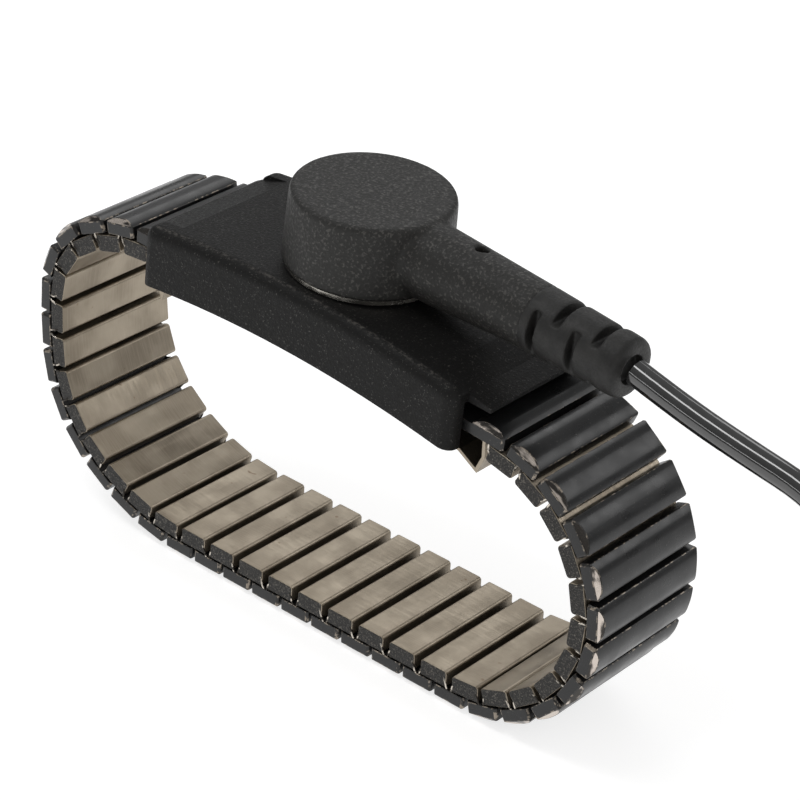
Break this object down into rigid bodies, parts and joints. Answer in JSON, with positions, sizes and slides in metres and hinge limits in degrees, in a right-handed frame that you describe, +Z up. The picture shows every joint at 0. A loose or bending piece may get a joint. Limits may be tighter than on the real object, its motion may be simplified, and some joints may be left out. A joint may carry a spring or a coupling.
{
  "type": "esd wrist strap",
  "caption": "Expansion-band anti-static wrist strap with a moulded contact plate, swivelling snap connector, tied ground lead, banana plug and crocodile clip.",
  "frame": {"origin": "centre of the band and plate's own box, without the lead, at the level the band stands on", "axes": "+X along the plate towards the lead, +Y across the band, +Z up"},
  "size_m": [0.2672, 0.0286, 0.0544],
  "materials": {
    "painted_link": "satin black paint over steel, worn at the edges",
    "stainless": "brushed",
    "nickel": "bright nickel plate",
    "moulded_black": "spark-eroded grain",
    "connector_plastic": "spark-eroded grain",
    "soft_rubber": "matt",
    "resistor_body": "lacquer",
    "cord_jacket": "glossy extruded jacket",
    "tie_rubber": "matt"
  },
  "bodies": {
    "plate": {"plate_housing": "moulded_black", "back_plate": "stainless", "end_pins": "stainless", "end_link_left": "painted_link", "end_link_right": "painted_link", "snap_stud": "nickel", "stud_washer": "nickel", "plate_rivets": "stainless"},
    "link_01": {"band_link_01": "painted_link"},
    "link_02": {"band_link_02": "painted_link"},
    "link_03": {"band_link_03": "painted_link"},
    "link_04": {"band_link_04": "painted_link"},
    "link_05": {"band_link_05": "painted_link"},
    "link_06": {"band_link_06": "painted_link"},
    "link_07": {"band_link_07": "painted_link"},
    "link_08": {"band_link_08": "painted_link"},
    "link_09": {"band_link_09": "painted_link"},
    "link_10": {"band_link_10": "painted_link"},
    "link_11": {"band_link_11": "painted_link"},
    "link_12": {"band_link_12": "painted_link"},
    "link_13": {"band_link_13": "painted_link"},
    "link_14": {"band_link_14": "painted_link"},
    "link_15": {"band_link_15": "painted_link"},
    "link_16": {"band_link_16": "painted_link"},
    "link_17": {"band_link_17": "painted_link"},
    "link_33": {"band_link_33": "painted_link"},
    "link_32": {"band_link_32": "painted_link"},
    "link_31": {"band_link_31": "painted_link"},
    "link_30": {"band_link_30": "painted_link"},
    "link_29": {"band_link_29": "painted_link"},
    "link_28": {"band_link_28": "painted_link"},
    "link_27": {"band_link_27": "painted_link"},
    "link_26": {"band_link_26": "painted_link"},
    "link_25": {"band_link_25": "painted_link"},
    "link_24": {"band_link_24": "painted_link"},
    "link_23": {"band_link_23": "painted_link"},
    "link_22": {"band_link_22": "painted_link"},
    "link_21": {"band_link_21": "painted_link"},
    "link_20": {"band_link_20": "painted_link"},
    "link_19": {"band_link_19": "painted_link"},
    "link_18": {"band_link_18": "painted_link"},
    "snap_ring": {"ring_spring": "nickel"},
    "connector": {"connector_head": "connector_plastic", "base_ring": "nickel", "snap_socket": "nickel", "strain_relief": "soft_rubber", "resistor": "resistor_body", "resistor_leads": "nickel", "cord_lead": "cord_jacket", "cord_hank": "cord_jacket", "hank_tie": "tie_rubber", "cord_tail": "cord_jacket", "plug_body": "connector_plastic", "banana_pin": "nickel"},
    "clip": {"clip_lower_jaw": "nickel", "clip_pivot": "nickel", "clip_spring": "nickel"},
    "clip_jaw": {"clip_upper_jaw": "nickel"}
  },
  "joints": [
    {"name": "stretch_01", "type": "slide", "parent": "plate", "child": "link_01", "axis": [-0.9999, 0, -0.0136], "range_m": [0, 0.00197], "stiffness_N_per_m": 120},
    {"name": "stretch_02", "type": "slide", "parent": "link_01", "child": "link_02", "axis": [-0.9707, 0, -0.2403], "range_m": [0, 0.00194], "stiffness_N_per_m": 120},
    {"name": "stretch_03", "type": "slide", "parent": "link_02", "child": "link_03", "axis": [-0.8744, 0, -0.4852], "range_m": [0, 0.00187], "stiffness_N_per_m": 120},
    {"name": "stretch_04", "type": "slide", "parent": "link_03", "child": "link_04", "axis": [-0.619, 0, -0.7854], "range_m": [0, 0.0017], "stiffness_N_per_m": 120},
    {"name": "stretch_05", "type": "slide", "parent": "link_04", "child": "link_05", "axis": [-0.2675, 0, -0.9635], "range_m": [0, 0.00147], "stiffness_N_per_m": 120},
    {"name": "stretch_06", "type": "slide", "parent": "link_05", "child": "link_06", "axis": [-0.0046, 0, -1], "range_m": [0, 0.00131], "stiffness_N_per_m": 120},
    {"name": "stretch_07", "type": "slide", "parent": "link_06", "child": "link_07", "axis": [0.0804, 0, -0.9968], "range_m": [0, 0.00125], "stiffness_N_per_m": 120},
    {"name": "stretch_08", "type": "slide", "parent": "link_07", "child": "link_08", "axis": [0.298, 0, -0.9546], "range_m": [0, 0.00112], "stiffness_N_per_m": 120},
    {"name": "stretch_09", "type": "slide", "parent": "link_08", "child": "link_09", "axis": [0.543, 0, -0.8397], "range_m": [0, 0.000975], "stiffness_N_per_m": 120},
    {"name": "stretch_10", "type": "slide", "parent": "link_09", "child": "link_10", "axis": [0.7482, 0, -0.6635], "range_m": [0, 0.000857], "stiffness_N_per_m": 120},
    {"name": "stretch_11", "type": "slide", "parent": "link_10", "child": "link_11", "axis": [0.869, 0, -0.4948], "range_m": [0, 0.000791], "stiffness_N_per_m": 120},
    {"name": "stretch_12", "type": "slide", "parent": "link_11", "child": "link_12", "axis": [0.9455, 0, -0.3256], "range_m": [0, 0.000752], "stiffness_N_per_m": 120},
    {"name": "stretch_13", "type": "slide", "parent": "link_12", "child": "link_13", "axis": [0.9894, 0, -0.1451], "range_m": [0, 0.000733], "stiffness_N_per_m": 120},
    {"name": "stretch_14", "type": "slide", "parent": "link_13", "child": "link_14", "axis": [1, 0, 0], "range_m": [0, 0.000734], "stiffness_N_per_m": 120},
    {"name": "stretch_15", "type": "slide", "parent": "link_14", "child": "link_15", "axis": [1, 0, 0], "range_m": [0, 0.000734], "stiffness_N_per_m": 120},
    {"name": "stretch_16", "type": "slide", "parent": "link_15", "child": "link_16", "axis": [1, 0, 0], "range_m": [0, 0.000734], "stiffness_N_per_m": 120},
    {"name": "stretch_17", "type": "slide", "parent": "link_16", "child": "link_17", "axis": [1, 0, 0], "range_m": [0, 0.000734], "stiffness_N_per_m": 120},
    {"name": "stretch_33", "type": "slide", "parent": "plate", "child": "link_33", "axis": [0.9874, 0, -0.1583], "range_m": [0, 0.00197], "stiffness_N_per_m": 120},
    {"name": "stretch_32", "type": "slide", "parent": "link_33", "child": "link_32", "axis": [0.9042, 0, -0.4271], "range_m": [0, 0.00193], "stiffness_N_per_m": 120},
    {"name": "stretch_31", "type": "slide", "parent": "link_32", "child": "link_31", "axis": [0.7494, 0, -0.6621], "range_m": [0, 0.00185], "stiffness_N_per_m": 120},
    {"name": "stretch_30", "type": "slide", "parent": "link_31", "child": "link_30", "axis": [0.5353, 0, -0.8447], "range_m": [0, 0.00173], "stiffness_N_per_m": 120},
    {"name": "stretch_29", "type": "slide", "parent": "link_30", "child": "link_29", "axis": [0.2788, 0, -0.9604], "range_m": [0, 0.00157], "stiffness_N_per_m": 120},
    {"name": "stretch_28", "type": "slide", "parent": "link_29", "child": "link_28", "axis": [0.0002, 0, -1], "range_m": [0, 0.0014], "stiffness_N_per_m": 120},
    {"name": "stretch_27", "type": "slide", "parent": "link_28", "child": "link_27", "axis": [-0.2784, 0, -0.9605], "range_m": [0, 0.00123], "stiffness_N_per_m": 120},
    {"name": "stretch_26", "type": "slide", "parent": "link_27", "child": "link_26", "axis": [-0.5337, 0, -0.8457], "range_m": [0, 0.00106], "stiffness_N_per_m": 120},
    {"name": "stretch_25", "type": "slide", "parent": "link_26", "child": "link_25", "axis": [-0.7468, 0, -0.665], "range_m": [0, 0.000924], "stiffness_N_per_m": 120},
    {"name": "stretch_24", "type": "slide", "parent": "link_25", "child": "link_24", "axis": [-0.9017, 0, -0.4324], "range_m": [0, 0.000816], "stiffness_N_per_m": 120},
    {"name": "stretch_23", "type": "slide", "parent": "link_24", "child": "link_23", "axis": [-0.9861, 0, -0.1661], "range_m": [0, 0.000751], "stiffness_N_per_m": 120},
    {"name": "stretch_22", "type": "slide", "parent": "link_23", "child": "link_22", "axis": [-1, 0, 0], "range_m": [0, 0.000734], "stiffness_N_per_m": 120},
    {"name": "stretch_21", "type": "slide", "parent": "link_22", "child": "link_21", "axis": [-1, 0, 0], "range_m": [0, 0.000734], "stiffness_N_per_m": 120},
    {"name": "stretch_20", "type": "slide", "parent": "link_21", "child": "link_20", "axis": [-1, 0, 0], "range_m": [0, 0.000734], "stiffness_N_per_m": 120},
    {"name": "stretch_19", "type": "slide", "parent": "link_20", "child": "link_19", "axis": [-1, 0, 0], "range_m": [0, 0.000734], "stiffness_N_per_m": 120},
    {"name": "stretch_18", "type": "slide", "parent": "link_19", "child": "link_18", "axis": [-1, 0, 0], "range_m": [0, 0.000734], "stiffness_N_per_m": 120},
    {"name": "snap_off", "type": "slide", "parent": "plate", "child": "snap_ring", "axis": [0.0523, 0, 0.9986], "range_m": [0, 0.008]},
    {"name": "lead_swivel", "type": "hinge", "parent": "snap_ring", "child": "connector", "pos_m": [0.00019, 0, 0.03904], "axis": [0.0523, 0, 0.9986], "continuous": true},
    {"name": "clip_pull_off", "type": "slide", "parent": "connector", "child": "clip", "axis": [1, 0, 0], "range_m": [0, 0.014]},
    {"name": "clip_open", "type": "hinge", "parent": "clip", "child": "clip_jaw", "pos_m": [0.2065, -0.005, 0.00585], "axis": [0, -1, 0], "range_deg": [0, 13], "stiffness_Nm_per_rad": 0.05, "springref_deg": -11.46}
  ],
  "couplings": [
    {"joint": "stretch_02", "follows": "stretch_01", "ratio": 0.98512},
    {"joint": "stretch_03", "follows": "stretch_01", "ratio": 0.94868},
    {"joint": "stretch_04", "follows": "stretch_01", "ratio": 0.86084},
    {"joint": "stretch_05", "follows": "stretch_01", "ratio": 0.74585},
    {"joint": "stretch_06", "follows": "stretch_01", "ratio": 0.66225},
    {"joint": "stretch_07", "follows": "stretch_01", "ratio": 0.63561},
    {"joint": "stretch_08", "follows": "stretch_01", "ratio": 0.56826},
    {"joint": "stretch_09", "follows": "stretch_01", "ratio": 0.49412},
    {"joint": "stretch_10", "follows": "stretch_01", "ratio": 0.43402},
    {"joint": "stretch_11", "follows": "stretch_01", "ratio": 0.40029},
    {"joint": "stretch_12", "follows": "stretch_01", "ratio": 0.38048},
    {"joint": "stretch_13", "follows": "stretch_01", "ratio": 0.37121},
    {"joint": "stretch_14", "follows": "stretch_01", "ratio": 0.37153},
    {"joint": "stretch_15", "follows": "stretch_01", "ratio": 0.37153},
    {"joint": "stretch_16", "follows": "stretch_01", "ratio": 0.37153},
    {"joint": "stretch_17", "follows": "stretch_01", "ratio": 0.37153},
    {"joint": "stretch_33", "follows": "stretch_01", "ratio": 1.0004},
    {"joint": "stretch_32", "follows": "stretch_01", "ratio": 0.98099},
    {"joint": "stretch_31", "follows": "stretch_01", "ratio": 0.93823},
    {"joint": "stretch_30", "follows": "stretch_01", "ratio": 0.87549},
    {"joint": "stretch_29", "follows": "stretch_01", "ratio": 0.79775},
    {"joint": "stretch_28", "follows": "stretch_01", "ratio": 0.71116},
    {"joint": "stretch_27", "follows": "stretch_01", "ratio": 0.62257},
    {"joint": "stretch_26", "follows": "stretch_01", "ratio": 0.53941},
    {"joint": "stretch_25", "follows": "stretch_01", "ratio": 0.46785},
    {"joint": "stretch_24", "follows": "stretch_01", "ratio": 0.41332},
    {"joint": "stretch_23", "follows": "stretch_01", "ratio": 0.38007},
    {"joint": "stretch_22", "follows": "stretch_01", "ratio": 0.37153},
    {"joint": "stretch_21", "follows": "stretch_01", "ratio": 0.37153},
    {"joint": "stretch_20", "follows": "stretch_01", "ratio": 0.37153},
    {"joint": "stretch_19", "follows": "stretch_01", "ratio": 0.37153},
    {"joint": "stretch_18", "follows": "stretch_01", "ratio": 0.37153}
  ]
}
